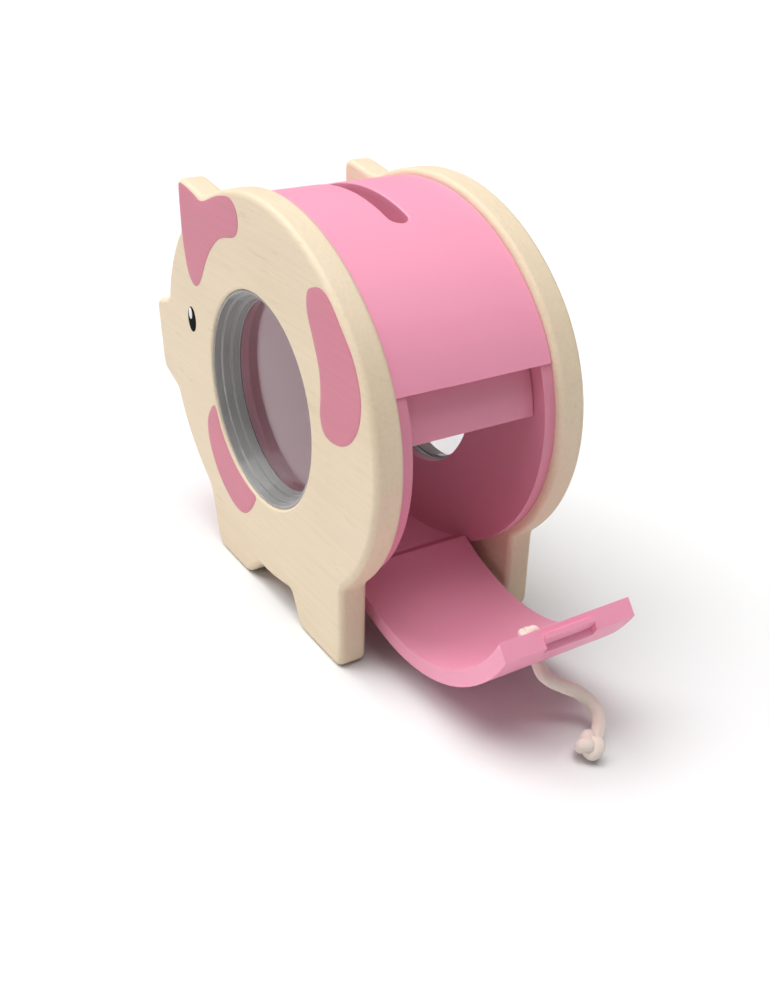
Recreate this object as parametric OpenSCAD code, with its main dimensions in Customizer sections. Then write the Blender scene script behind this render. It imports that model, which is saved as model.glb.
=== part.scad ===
// Pig-shaped money box: an oval plastic drum between two pig-shaped wooden side
// plates, with round clear windows, a coin slot on top, a hinged rear door that
// opens into a tray, and a knotted rope tail through the door.
// +Z is up, the pig's head points to +Y, the door and the tail to -Y.
// Lengths are millimetres. The origin is on the floor, under the middle of the
// box that the bank and its open door fill.

/* [Body] */
// Half the length of the oval body
body_half_len = 91; // [88:0.5:94]
// Half the height of the oval body
body_half_h = 80; // [78:0.5:82]
// Radius of the oval's front and rear arcs
body_end_r = 72; // [70:0.5:74]
// Height of the oval's centre above the floor
body_z = 91; // [90:0.5:93]

/* [Side plates] */
// Overall width over both wooden plates
overall_w = 92; // [86:1:100]
// Thickness of one wooden plate
plate_t = 12; // [10:0.5:14]
// Radius of the round window hole in a plate
window_r = 44.5; // [40:0.5:46]
// Height of the window's centre below the oval's centre
window_drop = 2; // [0:0.5:4]

/* [Drum] */
// How far the drum's surface lies inside the plates' outline
drum_inset = 2.5; // [2:0.1:3.5]
// Thickness of the drum's skin
skin_t = 3.5; // [3:0.1:4]
// Thickness of the drum's end walls
wall_t = 5; // [4.5:0.1:6]
// Width of the coin slot
slot_w = 8.4; // [7.5:0.1:10]
// Length of the coin slot
slot_len = 62; // [58:1:66]
// Height above the floor at which the coin guide under the slot ends
guide_low_z = 151; // [146:0.5:156]

/* [Door] */
// Thickness of the door panel
door_t = 6.4; // [6:0.1:7]
// Height of the opening's top edge above the floor
opening_top_z = 119; // [116:0.5:122]
// Angle through which the door swings open
door_open_deg = 51.5; // [40:0.5:52]
// Gap between the door and each end wall
door_side_gap = 0.7; // [0.5:0.1:1]
// Diameter of the steel hinge pin
pin_d = 3; // [2.6:0.1:3.2]

/* [Tail] */
// Diameter of the rope tail
rope_d = 5.2; // [4.6:0.1:5.4]

/* [Hidden] */
$fn = 96;
wood = "#E6D8BE";
pink = "#F59FBE";
clear = "#C9C4CC80";
steel = "#B9BCC2";
cord = "#E3CDBB";

// How far the oval's centre plane lies in front of the frame's origin
origin_shift_y = 20.58;
inner_w = overall_w - 2 * plate_t;
cavity_w = inner_w - 2 * wall_t;

// A four-centre oval: end arcs about (+-end_c, 0), long arcs about (0, -+long_c)
end_c = body_half_len - body_end_r;
long_r = (end_c * end_c + body_half_h * body_half_h - body_end_r * body_end_r)
    / (2 * (body_half_h - body_end_r));
long_c = long_r - body_half_h;
tangent_deg = atan2(long_c, end_c);

// The coin guide's walls under the slot, and how far the slot's middle lies behind the oval's
guide_t = 2;
slot_back = 1;

// Drum layers, counted inwards from the plates' outline
skin_in = drum_inset + skin_t;
fit_gap = 0.05;
wall_rim_inset = drum_inset + 0.8;
door_in = drum_inset + door_t;
keeper_out = door_in + 0.5;
keeper_t = 3;

// The hinge axis runs just under the drum, between the plates' rear feet
hinge_deg = 246;
hinge_out = 4.5;
barrel_r = 4;
pin_r = pin_d / 2;
running_gap = 0.05;
pin_depth = 6;
skin_end_deg = hinge_deg + 2.2;
door_end_deg = hinge_deg + 1.4;
hinge = oval_point(hinge_deg, drum_inset - hinge_out);
door_top_z = opening_top_z - 0.7;
door_w = cavity_w - 2 * door_side_gap;
stop_tab_l = 13;
stop_tab_t = 2.2;
stop_tab_w = 10;
stop_tab_x = 18;
stop_gap = 0.1;

// The finger notch and the latch bar in the door's top edge
notch_w = 22;
notch_h = 3.5;
notch_depth = 2.4;
bar_t = 1.8;
bar_h = 1.1;
lip_t = 1.4;
lip_h = 1.6;

// The window: a clear dish with a flange held in the end wall and steps in the plate's hole
wall_hole_r = 41;
lens_flange_r = 47.5;
lens_flange_t = 1.5;
lens_gap = 0.1;
lens_rim_h = 11.2;
lens_rim_w = 1.2;
lens_step_h = 8;
lens_step_w = 1.4;
lens_ledge_h = 4.5;
lens_ledge_w = 1.8;
lens_face_h = 1;
lens_t = 1.7;

// Screws through the end walls into the shell's bosses, and dowels into the plates
boss_degs = [62, 122, 300, 350];
boss_inset = skin_in + 2.8;
boss_r = 3.8;
boss_l = 14;
screw_r = 1.4;
screw_hole_r = 1.45;
screw_head_r = 2.8;
screw_head_h = 1.6;
screw_l = 14;
dowel_r = 3;
dowel_reach = 60;
dowel_degs = [45, 135, 225, 315];
dowel_in_wall = 3.4;
dowel_in_plate = 6;

// The tail leaves the door at its rearmost point
tail_z = 93;
tail_hole_r = rope_d / 2 + 0.2;
knot_r = 5.4;
knot_spread = 1.6;
knot_at = [5, -155.5, 5.7];
inner_knot_r = 3.6;
inner_knot_spread = 1.2;
// The rope's route outside the door, measured from the oval's centre plane
tail_route = [
    [0.5, -133.3, 23.4], [5, -136.3, 19.8], [12, -138.6, 15.4], [16.6, -142, 10.8],
    [16.4, -146.8, 7.6], [12, -151.6, 5.8], [5, -155.5, 5.7]
];
rope_sides = 8;
rope_step = 2;

// A point on the oval that is inset from the plates' outline, at a normal angle
function oval_point(deg, inset) =
    abs(tan(deg)) < tan(tangent_deg)
        ? [sign(cos(deg)) * end_c + (body_end_r - inset) * cos(deg),
           body_z + (body_end_r - inset) * sin(deg)]
        : [(long_r - inset) * cos(deg),
           body_z - sign(sin(deg)) * long_c + (long_r - inset) * sin(deg)];

function unit(v) = v / norm(v);

// The arc that rounds the corner b between a and c
function corner(a, b, c, r, n) =
    let (u = unit(a - b), w = unit(c - b), half = acos(u * w) / 2, turn = 180 - 2 * half,
         mid = b + unit(u + w) * r / sin(half),
         from = b + u * r / tan(half) - mid, to = b + w * r / tan(half) - mid)
    [for (i = [0:n]) mid + (sin(turn * (1 - i / n)) * from + sin(turn * i / n) * to) / sin(turn)];

function rounded(pts, r, n = 6) =
    let (m = len(pts))
    [for (i = [0:m - 1]) each corner(pts[(i + m - 1) % m], pts[i], pts[(i + 1) % m], r[i], n)];

// A smooth curve through a list of points, cut into n steps a span
function spline(p, n) = [
    for (i = [0:len(p) - 2]) for (k = [0:n - 1])
        let (t = k / n, a = p[max(i - 1, 0)], b = p[i], c = p[i + 1], d = p[min(i + 2, len(p) - 1)])
        0.5 * (2 * b + (c - a) * t + (2 * a - 5 * b + 4 * c - d) * t * t
            + (3 * b - a - 3 * c + d) * t * t * t),
    p[len(p) - 1]
];

// Draws a Y-Z outline as a slab from x0, w wide
module slab(x0, w) {
    translate([x0, 0, 0]) rotate([90, 0, 90]) linear_extrude(w) children();
}

// A cylinder along X, centred on a point of the Y-Z plane
module x_rod(x0, l, yz, r) {
    translate([x0, yz[0], yz[1]]) rotate([0, 90, 0]) cylinder(r = r, h = l);
}

// Moves a piece from the oval's centre plane into the row frame
module placed() {
    translate([0, origin_shift_y, 0]) children();
}

module mirrored(side) {
    if (side > 0) children();
    else mirror([1, 0, 0]) children();
}

module oval(inset) {
    translate([0, body_z]) {
        for (s = [-1, 1]) translate([s * end_c, 0]) circle(r = body_end_r - inset);
        intersection() {
            translate([0, -long_c]) circle(r = long_r - inset);
            translate([0, long_c]) circle(r = long_r - inset);
            square([2 * end_c * (long_r - inset) / (long_r - body_end_r), 3 * body_half_h], center = true);
        }
    }
}

// The rear sector below a height, ending on a radius of the oval's bottom arc
module rear_sector(top_z, end_deg) {
    arc_c = [0, body_z + long_c];
    reach = 1.6 * long_r;
    polygon([
        [0, top_z], [-reach, top_z], [-reach, arc_c[1] + reach * sin(end_deg)],
        arc_c + reach * [cos(end_deg), sin(end_deg)], arc_c
    ]);
}

// ---- Side plates ----

module ear() {
    polygon(rounded(
        [[40, 135], [46.5, 160.4], [71, 163.8], [70.6, 150], [70, 138], [52, 120]],
        [0.5, 3, 3.5, 6, 0.5, 0.5]));
}

module snout() {
    polygon(rounded([[70, 112.3], [104.9, 100.6], [101.3, 68.7], [70, 57.7]], [0.5, 3, 5, 0.5]));
}

module front_foot() {
    polygon(rounded([[5, 13], [15.5, 0], [46.5, 0], [53.5, 29], [20, 30]], [0.5, 2.5, 4, 0.5, 0.5]));
}

module rear_foot() {
    polygon(rounded([[-67, 40], [-67, 0], [-33, 0], [-27, 13], [-40, 40]], [0.5, 4, 2.5, 0.5, 0.5]));
}

module side_plate() {
    color(wood) difference() {
        union() {
            slab(inner_w / 2, plate_t) oval(0);
            slab(inner_w / 2, plate_t) ear();
            slab(inner_w / 2, plate_t) snout();
            slab(inner_w / 2, plate_t) front_foot();
            slab(inner_w / 2, plate_t) rear_foot();
        }
        x_rod(inner_w / 2 - 1, plate_t + 2, [0, body_z - window_drop], window_r);
        x_rod(inner_w / 2 - 1, pin_depth + 1, hinge, pin_r);
        for (a = dowel_degs)
            x_rod(inner_w / 2 - 1, dowel_in_plate + 1.2, dowel_place(a), dowel_r);
    }
}

module left_side_plate() { placed() mirrored(-1) side_plate(); }
module right_side_plate() { placed() mirrored(1) side_plate(); }

function dowel_place(a) = [dowel_reach * cos(a), body_z + dowel_reach * sin(a)];

module plate_dowels() {
    color(wood) for (a = dowel_degs)
        x_rod(inner_w / 2 - dowel_in_wall, dowel_in_wall + dowel_in_plate, dowel_place(a), dowel_r - fit_gap);
}

module left_plate_dowels() { placed() mirrored(-1) plate_dowels(); }
module right_plate_dowels() { placed() mirrored(1) plate_dowels(); }

// ---- Drum ----

// A flat-sided shaft with half-round ends along Y, from a height to above the drum
module slot_shaft(grow, low_z) {
    end_y = (slot_len - slot_w) / 2;
    h = body_z + body_half_h - low_z;
    for (s = [-1, 1]) translate([0, s * end_y - slot_back, low_z]) cylinder(r = slot_w / 2 + grow, h = h);
    translate([-slot_w / 2 - grow, -end_y - slot_back, low_z]) cube([slot_w + 2 * grow, 2 * end_y, h]);
}

module drum_shell() {
    placed() color(pink) difference() {
        union() {
            slab(-inner_w / 2, inner_w) difference() {
                oval(drum_inset);
                oval(skin_in);
                rear_sector(opening_top_z, skin_end_deg);
            }
            for (a = boss_degs) for (side = [-1, 1]) mirrored(side)
                x_rod(cavity_w / 2 - boss_l, boss_l, oval_point(a, boss_inset), boss_r);
            intersection() {
                slot_shaft(guide_t, guide_low_z);
                slab(-inner_w / 2, inner_w) oval(drum_inset + 1);
            }
        }
        slot_shaft(0, guide_low_z - 1);
        for (a = boss_degs) for (side = [-1, 1]) mirrored(side)
            x_rod(cavity_w / 2 - boss_l + 2, boss_l, oval_point(a, boss_inset), screw_hole_r);
        // Rebate behind the opening's top edge, where the latch bar goes in
        slab(-notch_w / 2 - 1.5, notch_w + 3) intersection() {
            difference() {
                oval(drum_inset + lip_t);
                oval(skin_in + 1);
            }
            translate([-body_half_len, opening_top_z - 1]) square([body_half_len, lip_h + 1]);
        }
    }
}

module end_wall() {
    window_at = [0, body_z - window_drop];
    x0 = cavity_w / 2;
    color(pink) difference() {
        slab(x0, wall_t) {
            oval(skin_in + fit_gap);
            intersection() {
                oval(wall_rim_inset);
                rear_sector(opening_top_z - 0.2, skin_end_deg - 0.3);
            }
        }
        x_rod(x0 - 1, wall_t + 2, window_at, wall_hole_r);
        x_rod(x0 + wall_t - lens_flange_t - fit_gap, lens_flange_t + 1, window_at, lens_flange_r + lens_gap);
        for (a = dowel_degs)
            x_rod(x0 + wall_t - dowel_in_wall - 0.1, dowel_in_wall + 1, dowel_place(a), dowel_r);
        for (a = boss_degs) {
            at = oval_point(a, boss_inset);
            x_rod(x0 - 1, wall_t + 2, at, screw_hole_r);
            translate([x0 + wall_t - screw_head_h, at[0], at[1]]) rotate([0, 90, 0])
                cylinder(r1 = screw_hole_r, r2 = screw_head_r + 0.1, h = screw_head_h + 0.01);
        }
    }
}

module left_end_wall() { placed() mirrored(-1) end_wall(); }
module right_end_wall() { placed() mirrored(1) end_wall(); }

module wall_screws() {
    color(steel) for (a = boss_degs) {
        at = oval_point(a, boss_inset);
        x1 = inner_w / 2 - fit_gap;
        x_rod(x1 - screw_l, screw_l - 0.2, at, screw_r);
        translate([x1 - screw_head_h, at[0], at[1]]) rotate([0, 90, 0])
            cylinder(r1 = screw_r, r2 = screw_head_r, h = screw_head_h);
    }
}

module left_wall_screws() { placed() mirrored(-1) wall_screws(); }
module right_wall_screws() { placed() mirrored(1) wall_screws(); }

module window() {
    rim_r = window_r - lens_gap;
    step_r = rim_r - lens_rim_w;
    ledge_r = step_r - lens_step_w;
    face_r = ledge_r - lens_ledge_w;
    back_r = wall_hole_r - lens_gap;
    translate([inner_w / 2 - fit_gap, 0, body_z - window_drop]) rotate([0, 90, 0])
        color(clear) rotate_extrude() polygon([
            [0, lens_face_h - lens_t], [back_r, lens_face_h - lens_t], [back_r, -lens_flange_t],
            [lens_flange_r, -lens_flange_t], [lens_flange_r, 0], [rim_r, 0], [rim_r, lens_rim_h],
            [step_r, lens_rim_h], [step_r, lens_step_h], [ledge_r, lens_step_h],
            [ledge_r, lens_ledge_h], [face_r, lens_ledge_h], [face_r, lens_face_h], [0, lens_face_h]
        ]);
}

module left_window() { placed() mirrored(-1) window(); }
module right_window() { placed() mirrored(1) window(); }

module latch_keeper() {
    low_z = 98.6;
    high_z = 130;
    w = cavity_w - 0.6;
    band_h = high_z - opening_top_z;
    placed() color(pink) difference() {
        union() {
            slab(-w / 2, w) intersection() {
                difference() {
                    oval(keeper_out);
                    oval(keeper_out + keeper_t);
                }
                translate([-body_half_len, low_z]) square([body_half_len, high_z - low_z]);
            }
            slab(-w / 2, w) intersection() {
                difference() {
                    oval(skin_in + fit_gap);
                    oval(keeper_out + keeper_t);
                }
                translate([-body_half_len, opening_top_z + lip_h + 1])
                    square([body_half_len, band_h - lip_h - 1]);
            }
        }
    }
}

// ---- Door ----

// Turns a piece of the closed door about the hinge to where it lies open
module opened() {
    translate([0, hinge[0], hinge[1]]) rotate([door_open_deg, 0, 0])
        translate([0, -hinge[0], -hinge[1]]) children();
}

// The outline that joins the hinge barrel to the door's lower end
module barrel_web() {
    foot = oval_point(hinge_deg - 8, drum_inset + 1);
    out = [cos(hinge_deg), sin(hinge_deg)];
    polygon([
        hinge + barrel_r * out, hinge - (hinge_out + 1.5) * out,
        oval_point(hinge_deg - 8, drum_inset + 2), foot
    ]);
}

// Rests against the drum's underside when the door is open
module stop_tab() {
    along = [-sin(hinge_deg), cos(hinge_deg)];
    inward = -[cos(hinge_deg), sin(hinge_deg)];
    top = hinge_out - stop_gap;
    polygon([
        hinge + inward * top + along * 1, hinge + inward * top + along * stop_tab_l,
        hinge + inward * (top - stop_tab_t) + along * stop_tab_l, hinge
    ]);
}

module door_panel() {
    placed() color(pink) {
        opened() difference() {
            union() {
                slab(-door_w / 2, door_w) {
                    difference() {
                        intersection() {
                            oval(drum_inset);
                            rear_sector(door_top_z, door_end_deg);
                        }
                        oval(door_in);
                    }
                    barrel_web();
                }
                x_rod(-inner_w / 2 + 0.6, inner_w - 1.2, hinge, barrel_r);
                latch_bar();
            }
            x_rod(-inner_w / 2, inner_w, hinge, pin_r + running_gap);
            finger_notch();
            translate([0, 0, tail_z]) rotate([90, 0, 0]) cylinder(r = tail_hole_r, h = 2 * body_half_len);
        }
        difference() {
            for (s = [-1, 1]) slab(s * stop_tab_x - stop_tab_w / 2, stop_tab_w) stop_tab();
            x_rod(-inner_w / 2, inner_w, hinge, barrel_r - 1);
        }
    }
}

module latch_bar() {
    slab(-notch_w / 2, notch_w) intersection() {
        difference() {
            oval(drum_inset + notch_depth);
            oval(drum_inset + notch_depth + bar_t);
        }
        translate([-body_half_len, door_top_z - 1]) square([body_half_len, bar_h + 1]);
    }
}

module finger_notch() {
    slab(-notch_w / 2, notch_w) intersection() {
        difference() {
            oval(drum_inset - 1);
            oval(drum_inset + notch_depth);
        }
        translate([-body_half_len - 5, door_top_z - notch_h]) square([body_half_len, notch_h + 5]);
    }
}

module hinge_pin() {
    placed() color(steel) x_rod(-inner_w / 2 - pin_depth, inner_w + 2 * pin_depth, hinge, pin_r);
}

// ---- Tail ----

function side_vector(tangent) = unit(cross(tangent, abs(tangent[2]) > 0.9 ? [1, 0, 0] : [0, 0, 1]));

// The rope as a tube that is swept along its route
module rope_tube(path) {
    n = len(path);
    rings = [
        for (i = [0:n - 1])
            let (t = unit(path[min(i + 1, n - 1)] - path[max(i - 1, 0)]), s = side_vector(t), u = cross(s, t))
            [for (k = [0:rope_sides - 1])
                path[i] + rope_d / 2 * (cos(360 * k / rope_sides) * s + sin(360 * k / rope_sides) * u)]
    ];
    polyhedron(
        points = [for (ring = rings) each ring],
        faces = concat(
            [[for (k = [0:rope_sides - 1]) k]],
            [for (i = [0:n - 2]) for (k = [0:rope_sides - 1])
                let (a = i * rope_sides + k, b = i * rope_sides + (k + 1) % rope_sides)
                [a, a + rope_sides, b + rope_sides, b]],
            [[for (k = [rope_sides - 1:-1:0]) (n - 1) * rope_sides + k]]));
}

// A point of the closed door, where it lies when the door is open
function open_point(p) =
    let (d = p - hinge, c = cos(door_open_deg), s = sin(door_open_deg))
    [0, hinge[0] + d[0] * c - d[1] * s, hinge[1] + d[0] * s + d[1] * c];

inner_knot_y = -body_half_len + door_in + inner_knot_r + 0.1;
hole_path = [
    open_point([inner_knot_y, tail_z]),
    open_point([-body_half_len + door_in - door_t / 2, tail_z]),
    open_point([-body_half_len + drum_inset - 0.5, tail_z])
];

// A bun: a disc with a round rim
module knot(r, spread) {
    rotate_extrude() {
        translate([0, -r]) square([spread, 2 * r]);
        intersection() {
            translate([spread, 0]) circle(r = r);
            translate([0, -r]) square(3 * r);
        }
    }
}

module tail_rope() {
    placed() color(cord) rope_tube(spline(concat(hole_path, tail_route), rope_step));
}

module tail_knot() { placed() color(cord) translate(knot_at) knot(knot_r, knot_spread); }

module tail_inner_knot() {
    placed() opened() color(cord) translate([0, inner_knot_y, tail_z]) rotate([90, 0, 0])
        knot(inner_knot_r, inner_knot_spread);
}

left_side_plate();
right_side_plate();
drum_shell();
left_end_wall();
right_end_wall();
left_window();
right_window();
latch_keeper();
door_panel();
hinge_pin();
left_wall_screws();
right_wall_screws();
left_plate_dowels();
right_plate_dowels();
tail_rope();
tail_knot();
tail_inner_knot();
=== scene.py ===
"""Studio scene of a pig-shaped money box: wooden plates, a pink drum, clear windows and a rope tail."""

import math

import bmesh
import bpy
from mathutils import Matrix, Vector
from mathutils.geometry import delaunay_2d_cdt


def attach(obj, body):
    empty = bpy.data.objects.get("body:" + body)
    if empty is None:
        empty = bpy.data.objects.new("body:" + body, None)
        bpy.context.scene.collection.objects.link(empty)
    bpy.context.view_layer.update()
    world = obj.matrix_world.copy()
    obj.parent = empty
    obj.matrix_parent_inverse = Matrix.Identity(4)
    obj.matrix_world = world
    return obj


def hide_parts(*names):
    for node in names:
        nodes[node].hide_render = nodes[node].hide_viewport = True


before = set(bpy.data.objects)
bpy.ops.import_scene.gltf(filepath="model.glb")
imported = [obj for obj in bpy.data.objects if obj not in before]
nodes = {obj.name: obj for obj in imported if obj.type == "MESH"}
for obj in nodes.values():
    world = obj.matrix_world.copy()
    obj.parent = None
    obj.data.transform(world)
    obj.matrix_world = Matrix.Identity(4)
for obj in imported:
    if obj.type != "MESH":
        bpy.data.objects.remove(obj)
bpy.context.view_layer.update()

MM = 0.001
# How far the oval's centre plane lies in front of the frame's origin, in millimetres
SHIFT_Y = 20.58

# The oval of the body, with four centres, and the layers of the drum, in millimetres
BODY_Z = 91.0
HALF_LEN = 91.0
HALF_H = 80.0
END_R = 72.0
END_C = HALF_LEN - END_R
LONG_R = (END_C**2 + HALF_H**2 - END_R**2) / (2 * (HALF_H - END_R))
LONG_C = LONG_R - HALF_H
TANGENT = math.degrees(math.atan2(LONG_C, END_C))
PLATE_IN = 34.0
PLATE_T = 12.0
PLATE_ROUND = 2.4
WINDOW_R = 44.5
WINDOW_AT = (0.0, 89.0)
WINDOW_ROUND = 1.1
DRUM_INSET = 2.5
SKIN_T = 3.5
SKIN_EDGE = 33.96


def oval(deg, inset=0.0):
    """A point (y, z) of the oval at a normal angle, inset from the plates' outline."""
    c, s = math.cos(math.radians(deg)), math.sin(math.radians(deg))
    if abs(math.tan(math.radians(deg))) < math.tan(math.radians(TANGENT)):
        return (math.copysign(END_C, c) + (END_R - inset) * c, BODY_Z + (END_R - inset) * s)
    return ((LONG_R - inset) * c, BODY_Z - math.copysign(LONG_C, s) + (LONG_R - inset) * s)


# ---- Camera ----

def make_camera():
    data = bpy.data.cameras.new("camera")
    cam = bpy.data.objects.new("camera", data)
    bpy.context.scene.collection.objects.link(cam)
    right = Vector((0.85126, -0.52433, 0.02091))
    up = Vector((0.23592, 0.41801, 0.87727))
    ahead = Vector((0.46872, 0.74185, -0.47954))
    turn = Matrix((right, up, -ahead)).transposed()
    place = Matrix.Translation((-0.226257, -0.382215 + SHIFT_Y * MM, 0.274324))
    cam.matrix_world = place @ turn.to_4x4()
    data.sensor_width = 36
    data.lens = 41.13
    data.clip_start = 0.01
    data.clip_end = 20
    bpy.context.scene.camera = cam


make_camera()


# ---- Mesh helpers ----

def new_piece(name, verts, faces, material, body="bank", smooth=True):
    mesh = bpy.data.meshes.new(name)
    mesh.from_pydata(verts, [], faces)
    mesh.validate()
    mesh.polygons.foreach_set("use_smooth", [smooth] * len(mesh.polygons))
    mesh.materials.append(material)
    obj = bpy.data.objects.new(name, mesh)
    bpy.context.scene.collection.objects.link(obj)
    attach(obj, body)
    return obj


def weighted(obj):
    mod = obj.modifiers.new("normals", "WEIGHTED_NORMAL")
    mod.keep_sharp = True
    return obj


def inset_loop(loop, amount):
    """Moves a closed 2-D loop to its left by an amount: inwards, on a loop that runs anticlockwise."""
    out = []
    n = len(loop)
    for i, (x, y) in enumerate(loop):
        ax, ay = x - loop[i - 1][0], y - loop[i - 1][1]
        bx, by = loop[(i + 1) % n][0] - x, loop[(i + 1) % n][1] - y
        la, lb = math.hypot(ax, ay), math.hypot(bx, by)
        nx, ny = -(ay / la + by / lb), ax / la + bx / lb
        size = math.hypot(nx, ny)
        nx, ny = nx / size, ny / size
        cos_half = max(nx * -ay / la + ny * ax / la, 0.5)
        out.append((x + nx * amount / cos_half, y + ny * amount / cos_half))
    return out


def soften(loop, corners, steps=7):
    """Replaces each marked corner of a closed loop by a curve. corners maps an index to its reach."""
    n = len(loop)
    taken, curves = set(), {}

    def walk(i, step, reach):
        at, left = i, reach
        while True:
            nxt = (at + step) % n
            length = math.dist(loop[at], loop[nxt])
            if length >= left - 1e-9:
                t = left / length
                return tuple(a + (b - a) * t for a, b in zip(loop[at], loop[nxt]))
            left -= length
            taken.add(nxt)
            at = nxt

    for i, reach in corners.items():
        a, c, b = walk(i, -1, reach), walk(i, 1, reach), loop[i]
        curves[i] = [
            tuple((1 - t) ** 2 * p + 2 * t * (1 - t) * q + t * t * r for p, q, r in zip(a, b, c))
            for t in (k / steps for k in range(steps + 1))
        ]
    out = []
    for i, p in enumerate(loop):
        if i in curves:
            out += curves[i]
        elif i not in taken:
            out.append(p)
    return [p for i, p in enumerate(out) if math.dist(p, out[i - 1]) > 0.02]


def resample(loop, step):
    """The same closed loop with no segment longer than a step."""
    out = []
    for i, p in enumerate(loop):
        q = loop[(i + 1) % len(loop)]
        parts = max(1, math.ceil(math.dist(p, q) / step))
        out += [tuple(a + (b - a) * k / parts for a, b in zip(p, q)) for k in range(parts)]
    return out


def inside(point, loop):
    hit = False
    x, y = point
    for i, (x1, y1) in enumerate(loop):
        x0, y0 = loop[i - 1]
        if (y0 > y) != (y1 > y) and x < (x1 - x0) * (y - y0) / (y1 - y0) + x0:
            hit = not hit
    return hit


def far_from(point, loop, gap):
    return all((point[0] - x) ** 2 + (point[1] - y) ** 2 > gap * gap for x, y in loop)


def triangles(loops, spacing):
    """Fills the first loop, less the others. Returns the points added inside, and the triangles."""
    points = [p for loop in loops for p in loop]
    edges, base = [], 0
    for loop in loops:
        edges += [(base + i, base + (i + 1) % len(loop)) for i in range(len(loop))]
        base += len(loop)
    extra = []
    if spacing:
        du, dv = spacing
        us, vs = [p[0] for p in loops[0]], [p[1] for p in loops[0]]
        gap = 0.45 * min(du, dv)
        for i in range(1, int((max(us) - min(us)) / du) + 1):
            for j in range(1, int((max(vs) - min(vs)) / dv) + 1):
                q = (min(us) + i * du, min(vs) + j * dv)
                if inside(q, loops[0]) and not any(inside(q, h) for h in loops[1:]):
                    if all(far_from(q, loop, gap) for loop in loops):
                        extra.append(q)
    found = delaunay_2d_cdt([Vector(p) for p in points + extra], edges, [], 1, 1e-5, True)
    where = [ids[0] for ids in found[3]]
    every = points + extra
    tris = []
    for face in found[2]:
        ids = [where[k] for k in face]
        mid = tuple(sum(every[k][a] for k in ids) / len(ids) for a in (0, 1))
        if inside(mid, loops[0]) and not any(inside(mid, h) for h in loops[1:]):
            tris.append(ids)
    return extra, tris


def sheet_solid(loops, rounds, thick, place, spacing=None, steps=4):
    """A slab with rounded rims. loops are 2-D outlines, the first anticlockwise, the holes clockwise;
    place(u, v, depth) gives each point's position in the frame, in millimetres."""
    profile = []
    for k in range(steps + 1):
        a = math.pi / 2 * k / steps
        profile.append((1 - math.sin(a), 1 - math.cos(a)))
    rings = []
    for loop, r in zip(loops, rounds):
        own = [(inset_loop(loop, r * o), r * d) for o, d in profile]
        own += [(ring, thick - depth) for ring, depth in reversed(own)]
        rings.append(own)
    extra, tris = triangles([own[0][0] for own in rings], spacing)
    verts, faces, tops, bottoms = [], [], [], []
    for own in rings:
        start = len(verts)
        n = len(own[0][0])
        for ring, depth in own:
            verts += [place(u, v, depth) for u, v in ring]
        for k in range(len(own) - 1):
            for i in range(n):
                a, b = start + k * n + i, start + k * n + (i + 1) % n
                faces.append((a, b, b + n, a + n))
        tops += range(start, start + n)
        bottoms += range(start + (len(own) - 1) * n, start + len(own) * n)
    for depth, into in ((0, tops), (thick, bottoms)):
        into += range(len(verts), len(verts) + len(extra))
        verts += [place(u, v, depth) for u, v in extra]
    for t in tris:
        faces.append([tops[k] for k in t])
        faces.append([bottoms[k] for k in reversed(t)])
    return [tuple(c * MM for c in v) for v in verts], faces


def round_hole(cx, cy, r, n):
    """A circle that runs clockwise."""
    turns = [-math.tau * i / n for i in range(n)]
    return [(cx + r * math.cos(a), cy + r * math.sin(a)) for a in turns]


def signed_area(loop):
    """Twice the area inside a closed loop, positive where it runs anticlockwise."""
    after = loop[1:] + loop[:1]
    return sum(p[0] * q[1] - q[0] * p[1] for p, q in zip(loop, after))


def fix_normals(obj):
    bm = bmesh.new()
    bm.from_mesh(obj.data)
    bmesh.ops.recalc_face_normals(bm, faces=bm.faces)
    bm.to_mesh(obj.data)
    bm.free()
    return obj


# ---- Materials ----

def material(name):
    mat = bpy.data.materials.new(name)
    mat.use_nodes = True
    tree = mat.node_tree
    return mat, tree, tree.nodes["Principled BSDF"]


def ramp(tree, source, stops):
    """A colour ramp between two stops, each a position and a colour."""
    node = tree.nodes.new("ShaderNodeValToRGB")
    tree.links.new(source, node.inputs["Fac"])
    for element, (at, colour) in zip(node.color_ramp.elements, stops):
        element.position, element.color = at, colour
    return node.outputs["Color"]


def grey(v):
    return (v, v, v, 1)


def noise(tree, coords, detail, rough):
    """Noise whose size comes from the scale of its coordinates."""
    node = tree.nodes.new("ShaderNodeTexNoise")
    tree.links.new(coords, node.inputs["Vector"])
    node.inputs["Scale"].default_value = 1.0
    node.inputs["Detail"].default_value = detail
    node.inputs["Roughness"].default_value = rough
    return node.outputs["Fac"]


def stretched(tree, scale, turn=(0, 0, 0)):
    coords = tree.nodes.new("ShaderNodeTexCoord")
    mapping = tree.nodes.new("ShaderNodeMapping")
    mapping.inputs["Scale"].default_value = scale
    mapping.inputs["Rotation"].default_value = turn
    tree.links.new(coords.outputs["Object"], mapping.inputs["Vector"])
    return mapping.outputs["Vector"]


def mix(tree, fac, a, b, kind="MIX"):
    node = tree.nodes.new("ShaderNodeMix")
    node.data_type = "RGBA"
    node.blend_type = kind
    for socket, value in ((node.inputs[0], fac), (node.inputs[6], a), (node.inputs[7], b)):
        if isinstance(value, bpy.types.NodeSocket):
            tree.links.new(value, socket)
        else:
            socket.default_value = value
    return node.outputs[2]


def maths(tree, operation, *values):
    node = tree.nodes.new("ShaderNodeMath")
    node.operation = operation
    for socket, value in zip(node.inputs, values):
        if isinstance(value, bpy.types.NodeSocket):
            tree.links.new(value, socket)
        else:
            socket.default_value = value
    return node.outputs[0]


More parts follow.
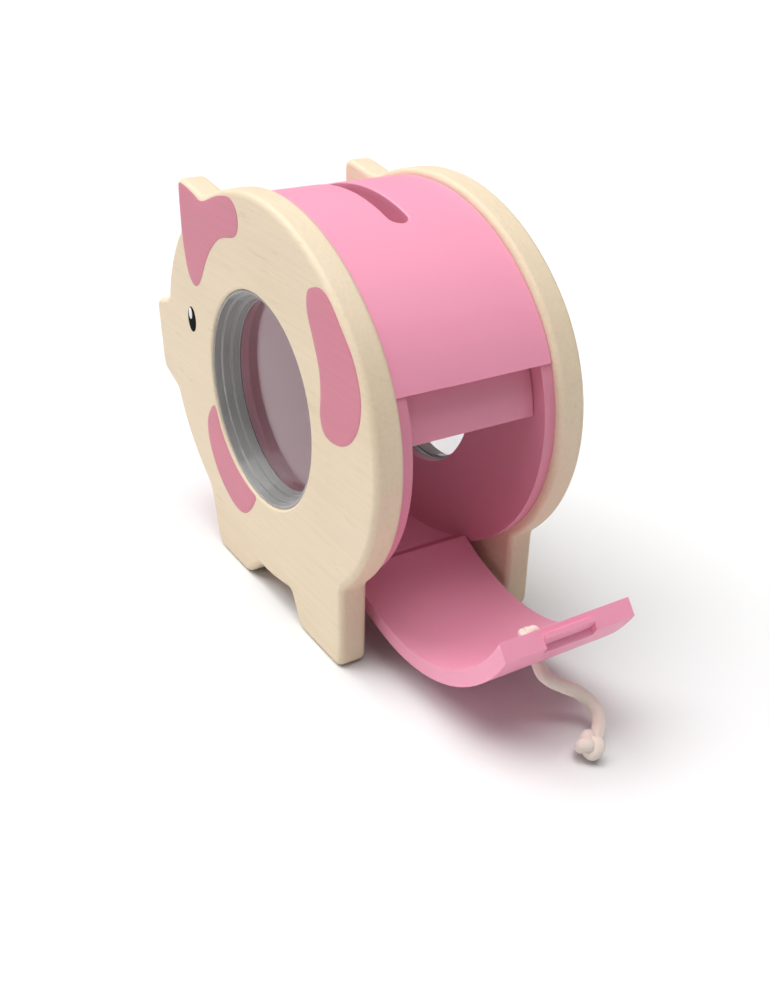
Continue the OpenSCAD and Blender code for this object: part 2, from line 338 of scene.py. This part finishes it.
def bump(tree, shader, height, strength, distance):
    node = tree.nodes.new("ShaderNodeBump")
    node.inputs["Strength"].default_value = strength
    node.inputs["Distance"].default_value = distance
    tree.links.new(height, node.inputs["Height"])
    tree.links.new(node.outputs["Normal"], shader.inputs["Normal"])


GRAIN_TURN = (math.radians(7), 0, 0)


def grain(tree):
    """Long soft bands, fine fibres and short dark flecks, all along the plate."""
    bands = noise(tree, stretched(tree, (60, 5, 60), GRAIN_TURN), 4.0, 0.55)
    fibres = noise(tree, stretched(tree, (900, 26, 900), GRAIN_TURN), 3.0, 0.6)
    flecks = noise(tree, stretched(tree, (420, 60, 420), GRAIN_TURN), 2.0, 0.5)
    return bands, fibres, flecks


def wood_material(name, pale, warm):
    mat, tree, shader = material(name)
    bands, fibres, flecks = grain(tree)
    blot = noise(tree, stretched(tree, (16, 9, 16)), 2.0, 0.5)
    base = mix(tree, maths(tree, "MULTIPLY", bands, 0.9), pale, warm)
    tan = ramp(tree, blot, [(0.50, grey(0)), (0.80, grey(1))])
    base = mix(tree, maths(tree, "MULTIPLY", tan, 0.16), base, (0.66, 0.43, 0.20, 1))
    line = ramp(tree, fibres, [(0.30, grey(0.94)), (0.62, grey(1.0))])
    base = mix(tree, 1.0, base, line, "MULTIPLY")
    dark = ramp(tree, flecks, [(0.66, grey(0)), (0.74, grey(1))])
    base = mix(tree, maths(tree, "MULTIPLY", dark, 0.16), base, (0.50, 0.34, 0.20, 1))
    tree.links.new(base, shader.inputs["Base Color"])
    rough = maths(tree, "ADD", maths(tree, "MULTIPLY", fibres, 0.22), 0.40)
    tree.links.new(rough, shader.inputs["Roughness"])
    shader.inputs["Specular IOR Level"].default_value = 0.35
    bump(tree, shader, maths(tree, "ADD", fibres, maths(tree, "MULTIPLY", flecks, 0.5)), 0.25, 0.0002)
    return mat


def paint_material(name, colour, deep, roughness):
    """Thin paint through which the fibres still show a little."""
    mat, tree, shader = material(name)
    bands, fibres, _ = grain(tree)
    base = mix(tree, maths(tree, "MULTIPLY", bands, 0.8), colour, deep)
    line = ramp(tree, fibres, [(0.30, grey(0.93)), (0.62, grey(1.0))])
    base = mix(tree, 1.0, base, line, "MULTIPLY")
    tree.links.new(base, shader.inputs["Base Color"])
    rough = maths(tree, "ADD", maths(tree, "MULTIPLY", fibres, 0.15), roughness)
    tree.links.new(rough, shader.inputs["Roughness"])
    bump(tree, shader, fibres, 0.15, 0.0002)
    return mat


def plastic_material(name, colour, deep, roughness):
    """Moulded satin plastic: faint cloudiness in the colour, a fine texture and light scuffs."""
    mat, tree, shader = material(name)
    cloud = noise(tree, stretched(tree, (18, 18, 18)), 3.0, 0.5)
    fine = noise(tree, stretched(tree, (2600, 2600, 2600)), 2.0, 0.5)
    scuff = noise(tree, stretched(tree, (90, 700, 90), (0.4, 0.2, 0.3)), 4.0, 0.7)
    tree.links.new(mix(tree, cloud, colour, deep), shader.inputs["Base Color"])
    marks = ramp(tree, scuff, [(0.60, grey(0)), (0.72, grey(1))])
    rough = maths(tree, "ADD", maths(tree, "MULTIPLY", cloud, 0.10), roughness)
    rough = maths(tree, "ADD", rough, maths(tree, "MULTIPLY", marks, 0.06))
    tree.links.new(rough, shader.inputs["Roughness"])
    bump(tree, shader, fine, 0.12, 0.00005)
    return mat


def clear_material(name, pale, deep, share):
    """Clear plastic, of which a share lets light through and the rest looks frosted."""
    mat, tree, shader = material(name)
    cloud = noise(tree, stretched(tree, (40, 40, 40)), 3.0, 0.5)
    tint = mix(tree, cloud, pale, deep)
    tree.links.new(tint, shader.inputs["Base Color"])
    shader.inputs["Transmission Weight"].default_value = share
    shader.inputs["IOR"].default_value = 1.49
    tree.links.new(maths(tree, "MULTIPLY", cloud, 0.05), shader.inputs["Roughness"])
    return mat


def steel_material(name):
    mat, tree, shader = material(name)
    streak = noise(tree, stretched(tree, (60, 1500, 1500)), 3.0, 0.6)
    tint = mix(tree, streak, (0.62, 0.63, 0.65, 1), (0.50, 0.51, 0.53, 1))
    tree.links.new(tint, shader.inputs["Base Color"])
    rough = maths(tree, "ADD", maths(tree, "MULTIPLY", streak, 0.2), 0.22)
    tree.links.new(rough, shader.inputs["Roughness"])
    shader.inputs["Metallic"].default_value = 1.0
    bump(tree, shader, streak, 0.1, 0.00003)
    return mat


def cord_material(name):
    mat, tree, shader = material(name)
    fuzz = noise(tree, stretched(tree, (1500, 1500, 1500)), 4.0, 0.7)
    soft = noise(tree, stretched(tree, (160, 160, 160)), 3.0, 0.5)
    base = mix(tree, soft, (0.90, 0.80, 0.72, 1), (0.80, 0.68, 0.59, 1))
    shade = ramp(tree, fuzz, [(0.30, grey(0.90)), (0.65, grey(1.0))])
    tree.links.new(mix(tree, 1.0, base, shade, "MULTIPLY"), shader.inputs["Base Color"])
    shader.inputs["Roughness"].default_value = 0.9
    shader.inputs["Sheen Weight"].default_value = 0.3
    shader.inputs["Sheen Roughness"].default_value = 0.5
    bump(tree, shader, fuzz, 0.35, 0.00022)
    return mat


WOOD = wood_material("birch", (0.82, 0.695, 0.52, 1), (0.765, 0.62, 0.44, 1))
DOWEL = wood_material("beech", (0.72, 0.52, 0.32, 1), (0.62, 0.42, 0.24, 1))
PATCH = paint_material("pink_paint", (0.645, 0.21, 0.285, 1), (0.61, 0.185, 0.255, 1), 0.42)
BLACK = paint_material("black_paint", (0.004, 0.004, 0.004, 1), (0.007, 0.007, 0.007, 1), 0.50)
BLACK_SHADER = BLACK.node_tree.nodes["Principled BSDF"]
BLACK_SHADER.inputs["Specular IOR Level"].default_value = 0.02
WHITE = paint_material("white_paint", (0.85, 0.85, 0.85, 1), (0.80, 0.80, 0.80, 1), 0.30)
PINK = plastic_material("pink_plastic", (0.90, 0.35, 0.49, 1), (0.87, 0.325, 0.465, 1), 0.36)
# The drum's pink plastic made darker: painted shade for the end walls and the latch keeper, which sit in
# shadow inside the drum
PINK_PAINTED_SHADE = plastic_material("pink_plastic_painted_shade", (0.72, 0.27, 0.37, 1), (0.69, 0.25, 0.35, 1), 0.40)
CLEAR = clear_material("clear_plastic", (0.86, 0.85, 0.865, 1), (0.82, 0.81, 0.825, 1), 0.98)
CLEAR_RIM = clear_material("clear_plastic_rim", (0.58, 0.59, 0.585, 1), (0.54, 0.55, 0.545, 1), 0.55)
STEEL = steel_material("steel")
COTTON = cord_material("cotton")


# ---- The tail: a knotted cotton rope through the door ----

ROPE_R = 2.6
KNOT_R = ROPE_R * 0.92
INNER_KNOT_R = 1.65
KNOT_TURN = math.tau * 0.97
HINGE = oval(246, DRUM_INSET - 4.5)
DOOR_OPEN = math.radians(51.5)


def opened(y, z):
    """Where a point of the closed door lies when the door is open, in the frame."""
    dy, dz = y - HINGE[0], z - HINGE[1]
    c, s = math.cos(DOOR_OPEN), math.sin(DOOR_OPEN)
    return (HINGE[0] + dy * c - dz * s + SHIFT_Y, HINGE[1] + dy * s + dz * c)


# The height of the rope's hole, and where its inner knot sits, with the door closed
TAIL_Z = 93.0
INNER_KNOT_Y = -78.4
HOLE_PATH = [(0, *opened(y, TAIL_Z)) for y in (INNER_KNOT_Y, -85.3, -89.0)]
TAIL_ROUTE = [
    (x, y + SHIFT_Y, z)
    for x, y, z in (
        (0.5, -133.3, 23.4), (5, -136.3, 19.8), (12, -138.6, 15.4), (16.6, -142, 10.8),
        (16.4, -146.8, 7.6), (12, -151.6, 5.8), (5, -155.5, 5.7),
    )
]


def smooth_path(points, steps):
    out = []
    for i in range(len(points) - 1):
        a, b = Vector(points[max(i - 1, 0)]), Vector(points[i])
        c, d = Vector(points[i + 1]), Vector(points[min(i + 2, len(points) - 1)])
        for k in range(steps):
            t = k / steps
            square, cube = 2 * a - 5 * b + 4 * c - d, 3 * b - a - 3 * c + d
            out.append(0.5 * (2 * b + (c - a) * t + square * t * t + cube * t**3))
    out.append(Vector(points[-1]))
    return out


TIP_TAPER = (0.55, 0.86, 0.97)
STRAND_DEPTH = 0.055
STRAND_TWIST = 0.42


def tube(path, radius, sides):
    """A laid cord: a tube of three soft strands that twist round its path, in millimetres."""
    n = len(path)
    verts, faces = [], []
    side, run = None, 0.0
    for i, p in enumerate(path):
        ahead, behind = path[min(i + 1, n - 1)], path[max(i - 1, 0)]
        t = (ahead - behind).normalized()
        if side is None:
            side = t.cross(Vector((0, 0, 1)) if abs(t.z) < 0.9 else Vector((1, 0, 0))).normalized()
        side = (side - t * side.dot(t)).normalized()
        up = t.cross(side)
        if i:
            run += (p - path[i - 1]).length
        end = min(i, n - 1 - i)
        taper = TIP_TAPER[end] if end < len(TIP_TAPER) else 1.0
        for k in range(sides):
            a = math.tau * k / sides
            lay = 1 - STRAND_DEPTH * (1 - abs(math.sin(1.5 * a - run * STRAND_TWIST)))
            r = radius * taper * lay
            verts.append(p + (side * math.cos(a) + up * math.sin(a)) * r)
    for i in range(n - 1):
        for k in range(sides):
            a, b = i * sides + k, i * sides + (k + 1) % sides
            faces.append((a, a + sides, b + sides, b))
    faces.append(list(range(sides)))
    faces.append([(n - 1) * sides + k for k in reversed(range(sides))])
    return [tuple(c * MM for c in v) for v in verts], faces


def trefoil(centre, size, lift, axes, start, turn, steps):
    """An overhand knot's line: three crossings about a centre. axes are the knot's own x, y and z."""
    ax, ay, az = (Vector(a).normalized() for a in axes)
    out = []
    for k in range(steps + 1):
        t = start + turn * k / steps
        x, y = math.sin(t) + 2 * math.sin(2 * t), math.cos(t) - 2 * math.cos(2 * t)
        out.append(Vector(centre) + (ax * x + ay * y) * size + az * (-math.sin(3 * t) * lift))
    return out


rope_line = smooth_path(HOLE_PATH + TAIL_ROUTE, 6)
rope = new_piece("rope_tail", *tube(rope_line, ROPE_R, 24), COTTON, "door")
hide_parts("tail_rope")
knot_at = (5.0, -155.5 + SHIFT_Y, 5.9)
knot_axes = ((1, 0.2, 0), (-0.2, 1, 0.1), (0, -0.1, 1))
knot_line = trefoil(knot_at, 1.1, 1.8, knot_axes, 0.3, KNOT_TURN, 110)
knot = new_piece("rope_end_knot", *tube(knot_line, KNOT_R, 20), COTTON, "door")
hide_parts("tail_knot")
lean = Vector((0, math.cos(DOOR_OPEN), math.sin(DOOR_OPEN)))
inner_at = (0, *opened(INNER_KNOT_Y, TAIL_Z))
inner_axes = ((1, 0, 0), (0, -lean.z, lean.y), tuple(lean))
inner_line = trefoil(inner_at, 0.98, 1.5, inner_axes, 0.9, KNOT_TURN, 90)
inner_knot = new_piece("rope_inner_knot", *tube(inner_line, INNER_KNOT_R, 16), COTTON, "door")
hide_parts("tail_inner_knot")


# ---- Wooden side plates ----

ARC_STEP = 1.5


def pig_outline():
    """A side plate's outline: arcs of the oval between the ear, the feet and the snout."""
    loop, corners = [], {}

    def arc(a, b):
        parts = max(1, round((b - a) / ARC_STEP))
        for k in range(parts + 1):
            loop.append(oval(a + (b - a) * k / parts))

    def corner(y, z, reach):
        corners[len(loop)] = reach
        loop.append((y, z))

    arc(13.5, 43.5)
    corner(70.2, 141.6, 2.0)
    corner(71.0, 163.9, 6.0)
    corner(45.6, 160.3, 4.0)
    arc(64.5, 226.0)
    corner(-67.0, 37.3, 2.5)
    corner(-67.0, 0.0, 5.5)
    corner(-33.0, 0.0, 3.8)
    corner(-25.0, 14.2, 3.0)
    arc(257.5, 270.5)
    corner(3.4, 11.1, 3.0)
    corner(16.0, 0.0, 3.8)
    corner(46.2, 0.0, 5.6)
    corner(53.3, 26.7, 4.0)
    arc(305.5, 336.0)
    corner(85.5, 63.1, 3.0)
    corner(101.3, 68.8, 4.4)
    corner(104.8, 100.7, 4.2)
    corner(89.4, 105.8, 3.0)
    return resample(soften(loop, corners), 2.4)


OUTLINE = pig_outline()
# A face whose normal is this close to X is part of a plate's flat side, and isn't smoothed
FLAT_NORMAL = 0.9999
WINDOW_LOOP = round_hole(*WINDOW_AT, WINDOW_R, 128)


def plate(side, name, node):
    def place(u, v, depth):
        return (side * (PLATE_IN + PLATE_T - depth), u + SHIFT_Y, v)

    rounds = [PLATE_ROUND, WINDOW_ROUND]
    verts, faces = sheet_solid([OUTLINE, WINDOW_LOOP], rounds, PLATE_T, place, steps=6)
    obj = weighted(fix_normals(new_piece(name, verts, faces, WOOD)))
    for face in obj.data.polygons:
        face.use_smooth = abs(face.normal.x) < FLAT_NORMAL
    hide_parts(node)


plate(-1, "left_plate_wood", "left_side_plate")
plate(1, "right_plate_wood", "right_side_plate")


def gap_to(loop, u, v):
    """The shortest distance from a point to a closed loop."""
    best = 1e9
    for i, (x1, y1) in enumerate(loop):
        x0, y0 = loop[i - 1]
        dx, dy = x1 - x0, y1 - y0
        t = min(1.0, max(0.0, ((u - x0) * dx + (v - y0) * dy) / (dx * dx + dy * dy)))
        best = min(best, (u - x0 - t * dx) ** 2 + (v - y0 - t * dy) ** 2)
    return best**0.5


def edge_drop(u, v):
    """How far the plate's face has curved away at a point near its rim or its window."""
    t = max(0.0, PLATE_ROUND - gap_to(OUTLINE, u, v))
    drop = PLATE_ROUND - math.sqrt(max(PLATE_ROUND**2 - t * t, 0.0))
    w = max(0.0, WINDOW_ROUND - (math.hypot(u - WINDOW_AT[0], v - WINDOW_AT[1]) - WINDOW_R))
    return drop + WINDOW_ROUND - math.sqrt(max(WINDOW_ROUND**2 - w * w, 0.0))


def closed_curve(points, steps):
    """A smooth anticlockwise loop through the points."""
    n = len(points)
    out = []
    for i in range(n):
        a, b, c, d = (points[(i + k) % n] for k in (-1, 0, 1, 2))
        for k in range(steps):
            t = k / steps
            point = []
            for p, q, r, s in zip(a, b, c, d):
                square, cube = 2 * p - 5 * q + 4 * r - s, 3 * q - p - 3 * r + s
                point.append(0.5 * (2 * q + (r - p) * t + square * t * t + cube * t**3))
            out.append(tuple(point))
    return out if signed_area(out) > 0 else out[::-1]


EAR_PATCH = [
    (68.0, 161.4), (69.1, 158.4), (68.7, 145.4), (66.0, 130.8), (63.0, 123.8), (58.6, 120.6), (54.6, 121.2),
    (50.6, 125), (44.8, 133.7), (38.6, 140.9), (29.2, 147.6), (16.5, 151.2), (12.4, 155.2), (12, 160.1),
    (14.4, 164), (19.7, 166), (30.6, 164), (45.7, 158.6), (53.6, 159.7), (61, 161.0),
]
FLANK_PATCH = [
    (-43.2, 147.2), (-48.4, 150.3), (-54, 150.9), (-59.5, 148.4), (-67.7, 140.8), (-74.4, 133.8), (-78.8, 126),
    (-80.6, 118.3), (-79.2, 109.7), (-74.5, 102.4), (-67.9, 98), (-60, 96.5), (-54.4, 98.2), (-52, 103.9),
    (-52.4, 112), (-51.5, 121), (-47.3, 130.8), (-43, 139.8),
]
FRONT_PATCH = [
    (43, 70.5), (48.6, 66.2), (51.6, 60.6), (51.8, 54), (49.1, 46.7), (44.2, 40.0), (38.2, 34.9),
    (29.7, 30.4), (21.6, 29), (15.4, 30.7), (10, 35), (6, 40.4), (5, 43.6), (11, 44.9), (20.6, 48.2),
    (29.6, 53.6), (37.4, 61.4),
]
PAINT_T = 0.3
PAINT_ROUND = 0.08
PATCH_PROUD = 0.13
EYE_PROUD = 0.12
GLINT_PROUD = 0.18


def oval_dot(cu, cv, ru, rv, n):
    turns = [a * math.tau / n for a in range(n)]
    return [(cu + ru * math.cos(t), cv + rv * math.sin(t)) for t in turns]


EYE = oval_dot(63.0, 103.8, 4.1, 5.6, 16)
GLINT = oval_dot(64.2, 106.2, 1.7, 2.6, 12)


def painted(side, name, points, mat, proud, fine=1.8):
    """A thin painted shape that follows a plate's face, standing a little proud of it."""
    def place(u, v, depth):
        return (side * (PLATE_IN + PLATE_T + proud - edge_drop(u, v) - depth), u + SHIFT_Y, v)

    loop = resample(closed_curve(points, 5), 1.4)
    verts, faces = sheet_solid([loop], [PAINT_ROUND], PAINT_T, place, (fine, fine), steps=2)
    obj = fix_normals(new_piece(name, verts, faces, mat))


for side, word in ((-1, "left"), (1, "right")):
    painted(side, word + "_ear_patch", EAR_PATCH, PATCH, PATCH_PROUD)
    painted(side, word + "_flank_patch", FLANK_PATCH, PATCH, PATCH_PROUD)
    painted(side, word + "_front_patch", FRONT_PATCH, PATCH, PATCH_PROUD)
    painted(side, word + "_eye", EYE, BLACK, EYE_PROUD)
    painted(side, word + "_eye_glint", GLINT, WHITE, GLINT_PROUD, 1.0)


# ---- Drum skin with its coin slot ----

# The skin is laid out flat: u is the angle round the oval times U_SCALE, v is X. Over the door its
# edge is level, at OPEN_TOP_Z, and the last LEVEL_SPAN degrees are turned to meet it.
OPEN_TOP_Z = 119.0
OPEN_TOP = 180 - math.degrees(math.asin((OPEN_TOP_Z - BODY_Z) / (END_R - DRUM_INSET)))
LEVEL_SPAN = 4.0
OPEN_END = 248.2
U_SCALE = 1.5
SLOT_W = 8.4
SLOT_LEN = 62.0
SLOT_MID = -1.0
SLOT_HALF = (SLOT_LEN - SLOT_W) / 2
SLOT_ARC = 16
SLOT_PARTS = 24
GUIDE_LOW = 151.0
GUIDE_T = 2.0
GUIDE_UNDER = 1.2
REBATE_U = 2.2
REBATE_HALF = 12.5
REBATE_SHARE = 0.4


def drum_place(u, v, depth):
    """A point of the skin. Its edge over the door is level, and thinner behind the latch bar's place."""
    deg = u / U_SCALE
    if deg > OPEN_TOP - REBATE_U and abs(v) < REBATE_HALF:
        depth *= REBATE_SHARE
    blend = max(0.0, (deg - OPEN_TOP + LEVEL_SPAN) / LEVEL_SPAN)
    level = 180 - math.degrees(math.asin((OPEN_TOP_Z - BODY_Z) / (END_R - DRUM_INSET - depth)))
    y, z = oval(deg + blend * (level - OPEN_TOP), DRUM_INSET + depth)
    return (v, y + SHIFT_Y, z)


def slot_loop():
    """The slot's outline on the flat skin, as (u, v) points."""
    flat = []
    for side in (1, -1):
        for k in range(SLOT_ARC + 1):
            a = math.pi * k / SLOT_ARC - math.pi / 2 * side
            y = SLOT_MID + side * SLOT_HALF + SLOT_W / 2 * math.cos(a)
            flat.append((y, SLOT_W / 2 * math.sin(a)))
    flat = resample(flat, 2.0)
    return [(math.degrees(math.acos(y / (LONG_R - DRUM_INSET))) * U_SCALE, x) for y, x in flat]


def drum_skin():
    u0, u1 = (OPEN_END - 360) * U_SCALE, OPEN_TOP * U_SCALE
    corners = [(u0, -SKIN_EDGE), (u1, -SKIN_EDGE), (u1, SKIN_EDGE), (u0, SKIN_EDGE)]
    outer = resample(corners, 2.5)
    hole = slot_loop()
    if signed_area(hole) > 0:
        hole = hole[::-1]
    verts, faces = sheet_solid([outer, hole], [0.5, 0.7], SKIN_T, drum_place, (2.5, 5.0), steps=3)
    obj = weighted(fix_normals(new_piece("drum_skin", verts, faces, PINK)))
    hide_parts("drum_shell")


def slot_outline(grow):
    """The slot seen from above, as (x, y) points."""
    out = []
    r = SLOT_W / 2 + grow
    for side in (1, -1):
        for k in range(SLOT_ARC + 1):
            a = math.pi * k / SLOT_ARC - math.pi / 2 * side
            out.append((-r * math.sin(a), SLOT_MID + side * SLOT_HALF + r * math.cos(a)))
        for k in range(1, SLOT_PARTS):
            out.append((-side * r, SLOT_MID + side * SLOT_HALF * (1 - 2 * k / SLOT_PARTS)))
    return out


def coin_guide():
    """The wall round the slot that leads a coin down into the drum."""
    inner, outer = slot_outline(0.05), slot_outline(GUIDE_T)
    n = len(inner)

    def top(y):
        return BODY_Z - LONG_C + math.sqrt((LONG_R - DRUM_INSET - GUIDE_UNDER) ** 2 - y * y)

    rings = (
        [(x, y, GUIDE_LOW) for x, y in outer], [(x, y, top(y)) for x, y in outer],
        [(x, y, top(y)) for x, y in inner], [(x, y, GUIDE_LOW) for x, y in inner],
    )
    verts = [(x * MM, (y + SHIFT_Y) * MM, z * MM) for ring in rings for x, y, z in ring]
    faces = []
    for k in range(4):
        for i in range(n):
            j, m = (i + 1) % n, (k + 1) % 4
            faces.append((k * n + i, k * n + j, m * n + j, m * n + i))
    obj = fix_normals(new_piece("coin_guide", verts, faces, PINK, smooth=False))


BOSS_ANGLES = (62, 122, 300, 350)
BOSS_SIDES = 32
BOSS_IN = 2.8
# Distance from the middle of the drum, and radius: the blunt inner end, the open end, then the bore
BOSS_PROFILE = ((15.0, 3.4), (15.4, 3.8), (28.9, 3.8), (28.9, 1.5), (17.0, 1.5))


def screw_bosses():
    """Blind posts inside the drum's corners that take the end walls' screws."""
    verts, faces = [], []
    last = len(BOSS_PROFILE) - 1
    for deg in BOSS_ANGLES:
        cy, cz = oval(deg, DRUM_INSET + SKIN_T + BOSS_IN)
        for side in (-1, 1):
            start = len(verts)
            for x, r in BOSS_PROFILE:
                for k in range(BOSS_SIDES):
                    a = math.tau * k / BOSS_SIDES
                    y, z = cy + r * math.cos(a) + SHIFT_Y, cz + r * math.sin(a)
                    verts.append((side * x * MM, y * MM, z * MM))
            for i in range(last):
                for k in range(BOSS_SIDES):
                    a = start + i * BOSS_SIDES + k
                    b = start + i * BOSS_SIDES + (k + 1) % BOSS_SIDES
                    faces.append((a, b, b + BOSS_SIDES, a + BOSS_SIDES))
            for ring in (0, last):
                faces.append([start + ring * BOSS_SIDES + k for k in range(BOSS_SIDES)])
    obj = fix_normals(new_piece("screw_bosses", verts, faces, PINK, smooth=False))


drum_skin()
coin_guide()
screw_bosses()


# ---- Clear windows: thin stepped dishes ----

# The dish's section, as radius and distance from the middle of the drum
DISH = [
    (0.0, 34.95), (39.95, 34.95), (39.95, 38.45), (41.75, 38.45), (41.75, 41.95), (43.15, 41.95),
    (43.15, 45.1), (44.35, 45.1), (44.35, 33.9), (47.4, 33.9), (47.4, 32.5), (40.85, 32.5),
    (40.85, 33.25), (0.0, 33.25),
]
# Faces this far out, and outside the drum, are the stepped rim, which is greyer and lets less light through
RIM_FROM = 39.7
WINDOW_TURNS = 96


def rounded_profile(points, r):
    """Cuts each corner of an open profile by a short two-step curve."""
    out = [points[0]]
    for a, b, c in zip(points, points[1:], points[2:]):
        p = tuple(q + (w - q) * min(0.45, r / math.dist(a, b)) for q, w in zip(b, a))
        n = tuple(q + (w - q) * min(0.45, r / math.dist(b, c)) for q, w in zip(b, c))
        m = tuple(0.25 * i + 0.5 * j + 0.25 * k for i, j, k in zip(p, b, n))
        out += [p, m, n]
    return out + [points[-1]]


def window(side, name, node):
    profile = rounded_profile(DISH, 0.3)[1:-1]
    verts, faces = [], []
    for r, x in profile:
        for k in range(WINDOW_TURNS):
            a = math.tau * k / WINDOW_TURNS
            y, z = WINDOW_AT[0] + r * math.cos(a) + SHIFT_Y, WINDOW_AT[1] + r * math.sin(a)
            verts.append((side * x * MM, y * MM, z * MM))
    last = len(profile) - 1
    for i in range(last):
        for k in range(WINDOW_TURNS):
            a, b = i * WINDOW_TURNS + k, i * WINDOW_TURNS + (k + 1) % WINDOW_TURNS
            faces.append((a, b, b + WINDOW_TURNS, a + WINDOW_TURNS))
    faces.append(list(range(WINDOW_TURNS)))
    faces.append([last * WINDOW_TURNS + k for k in reversed(range(WINDOW_TURNS))])
    obj = weighted(fix_normals(new_piece(name, verts, faces, CLEAR)))
    obj.data.materials.append(CLEAR_RIM)
    for face in obj.data.polygons:
        points = [obj.data.vertices[k].co for k in face.vertices]
        middle = sum(points, Vector()) / len(points)
        away = math.hypot(middle.y / MM - WINDOW_AT[0] - SHIFT_Y, middle.z / MM - WINDOW_AT[1])
        face.material_index = 1 if away > RIM_FROM and abs(middle.x) / MM > PLATE_IN else 0
    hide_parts(node)


window(-1, "left_window_dish", "left_window")
window(1, "right_window_dish", "right_window")


# ---- CAD nodes that keep their shape: welded, with softened edges ----

WELD_WITHIN = 2e-6
BEVEL_FROM = math.radians(32)


def finish_cad(node, mat, edge):
    obj = nodes[node]
    obj.data.materials.clear()
    obj.data.materials.append(mat)
    obj.data.polygons.foreach_set("use_smooth", [True] * len(obj.data.polygons))
    weld = obj.modifiers.new("weld", "WELD")
    weld.merge_threshold = WELD_WITHIN
    bevel = obj.modifiers.new("edges", "BEVEL")
    bevel.width = edge * MM
    bevel.segments = 3
    bevel.limit_method = "ANGLE"
    bevel.angle_limit = BEVEL_FROM
    weighted(obj)


# The end walls and the latch keeper take the darker pink, as painted shade for their place inside the drum
for node in ("left_end_wall", "right_end_wall", "latch_keeper"):
    finish_cad(node, PINK_PAINTED_SHADE, 0.5)
finish_cad("door_panel", PINK, 0.3)
for node in ("hinge_pin", "left_wall_screws", "right_wall_screws"):
    finish_cad(node, STEEL, 0.2)
for node in ("left_plate_dowels", "right_plate_dowels"):
    finish_cad(node, DOWEL, 0.3)


# ---- Studio ----

def backdrop():
    """A pale wall far behind the object on every side. Only the camera sees it, so it lights nothing."""
    parts, radius, height = 64, 5.8, 5.0
    turns = [math.tau * k / parts for k in range(parts)]
    verts = [(radius * math.cos(a), radius * math.sin(a), z) for z in (-0.01, height) for a in turns]
    faces = [(k, (k + 1) % parts, parts + (k + 1) % parts, parts + k) for k in range(parts)]
    mesh = bpy.data.meshes.new("backdrop")
    mesh.from_pydata(verts, [], faces)
    wall = bpy.data.objects.new("backdrop", mesh)
    bpy.context.scene.collection.objects.link(wall)
    mat, _, shader = material("backdrop")
    shader.inputs["Base Color"].default_value = (0, 0, 0, 1)
    shader.inputs["Emission Color"].default_value = (1, 1, 1, 1)
    shader.inputs["Emission Strength"].default_value = 1.0
    mesh.materials.append(mat)
    wall.visible_diffuse = wall.visible_glossy = wall.visible_shadow = False


def studio():
    """A pale floor, the wall behind it, and soft light from three wide suns and a dim sky."""
    floor_mesh = bpy.data.meshes.new("floor")
    half = 6.0
    corners = [(-half, -half, 0), (half, -half, 0), (half, half, 0), (-half, half, 0)]
    floor_mesh.from_pydata(corners, [], [(0, 1, 2, 3)])
    floor = bpy.data.objects.new("floor", floor_mesh)
    bpy.context.scene.collection.objects.link(floor)
    mat, _, shader = material("floor")
    shader.inputs["Base Color"].default_value = (0.78, 0.78, 0.78, 1)
    shader.inputs["Roughness"].default_value = 0.7
    shader.inputs["Specular IOR Level"].default_value = 0.1
    floor_mesh.materials.append(mat)
    backdrop()
    world = bpy.data.worlds.new("world")
    bpy.context.scene.world = world
    world.use_nodes = True
    sky = world.node_tree.nodes["Background"]
    sky.inputs["Color"].default_value = (1.0, 1.0, 1.0, 1)
    sky.inputs["Strength"].default_value = 0.19
    for name, towards, spread, power in (
        ("key", (-0.30, 0.42, 0.86), 50, 2.7),
        ("top", (0.0, -0.12, 0.99), 35, 1.5),
        ("side", (-1.0, 0.15, 0.25), 60, 0.28),
    ):
        light = bpy.data.lights.new(name, "SUN")
        light.energy = power
        light.angle = math.radians(spread)
        lamp = bpy.data.objects.new(name, light)
        bpy.context.scene.collection.objects.link(lamp)
        lamp.rotation_mode = "QUATERNION"
        lamp.rotation_quaternion = Vector(towards).to_track_quat("Z", "Y")
    bpy.context.scene.view_settings.view_transform = "Standard"


studio()
